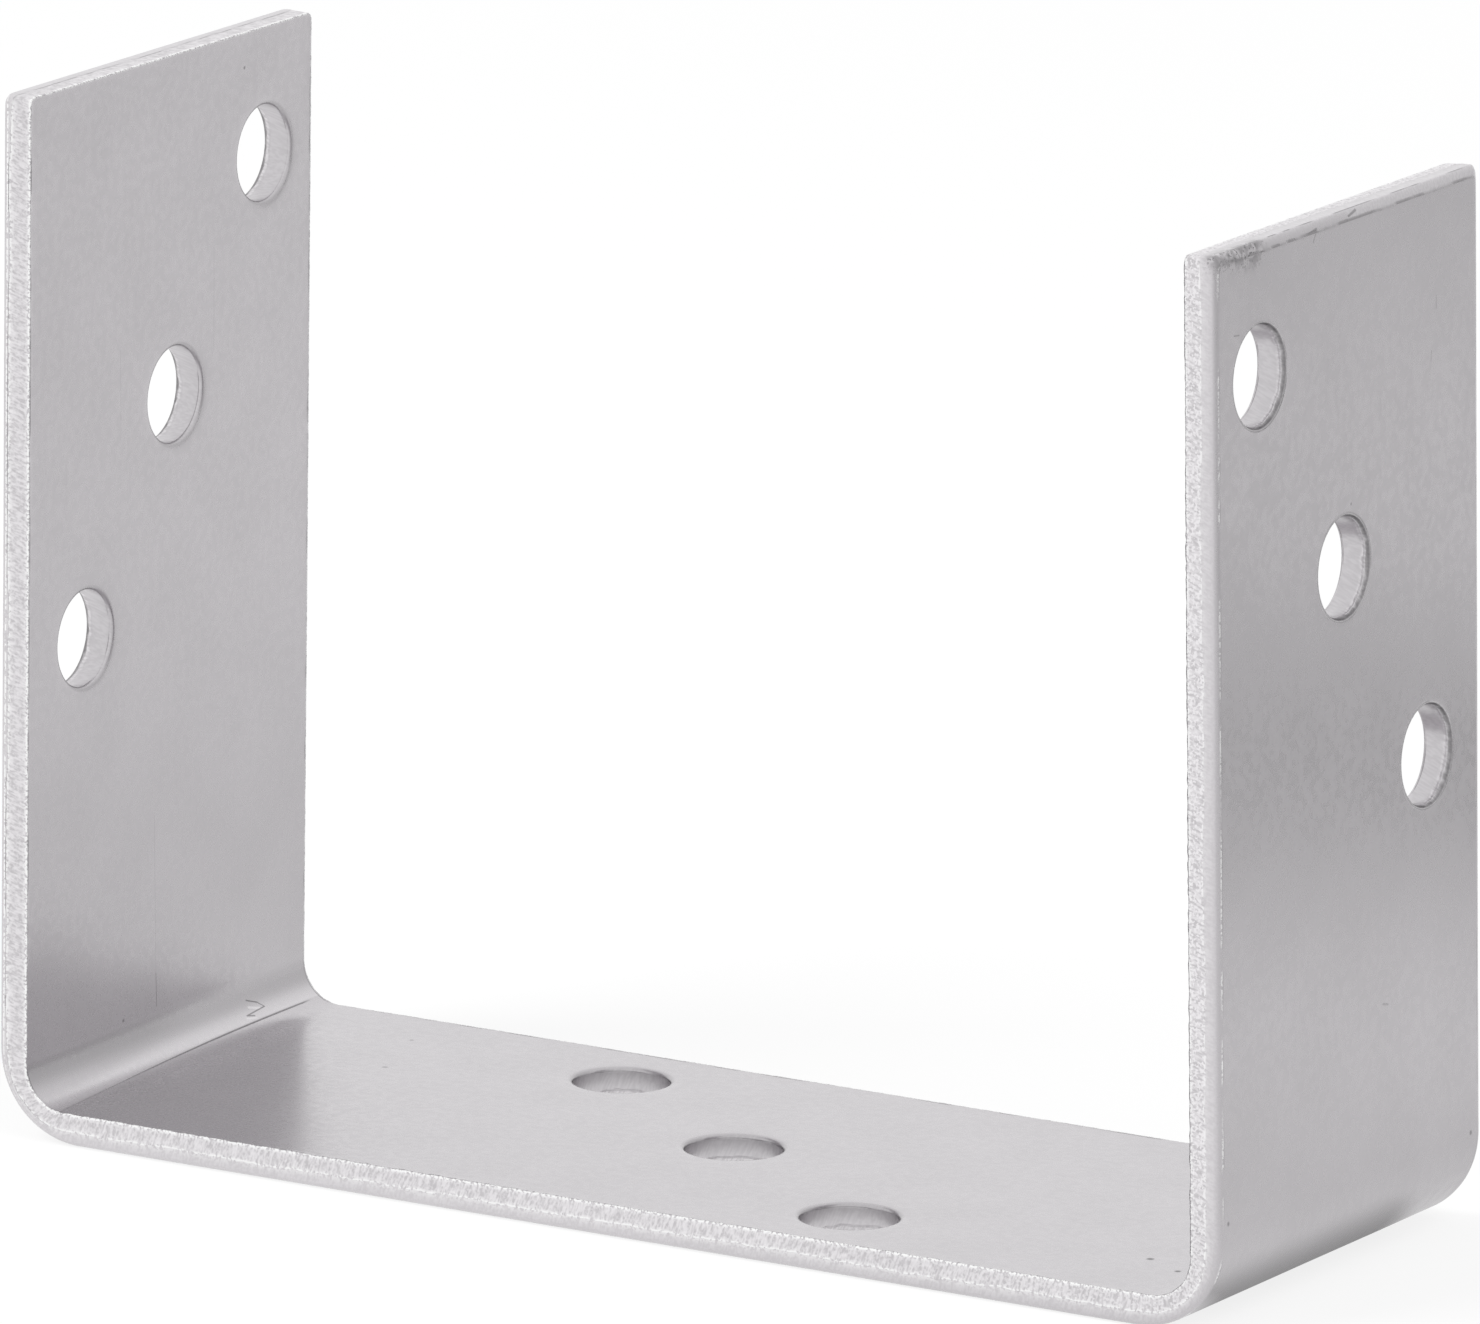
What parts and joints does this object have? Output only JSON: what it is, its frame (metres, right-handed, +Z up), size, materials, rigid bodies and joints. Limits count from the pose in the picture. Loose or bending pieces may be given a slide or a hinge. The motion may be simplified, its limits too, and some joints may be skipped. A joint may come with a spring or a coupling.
{
  "type": "u bracket",
  "caption": "U bracket folded from one strip of zinc plated steel plate, with a slanting row of punched round holes in its base and in each leg. One leg leans in slightly.",
  "frame": {"origin": "middle of the base's underside, the centre of the bottom of the bounding box", "axes": "+X from the left leg to the right leg, +Y from the front edge to the back edge across the strip, +Z up along the legs"},
  "size_m": [0.128, 0.048, 0.0972],
  "materials": {
    "zinc_plated_steel": "bright zinc plating over rolled and sheared steel, satin"
  },
  "bodies": {
    "root": {"u_bracket": "zinc_plated_steel"}
  },
  "joints": []
}
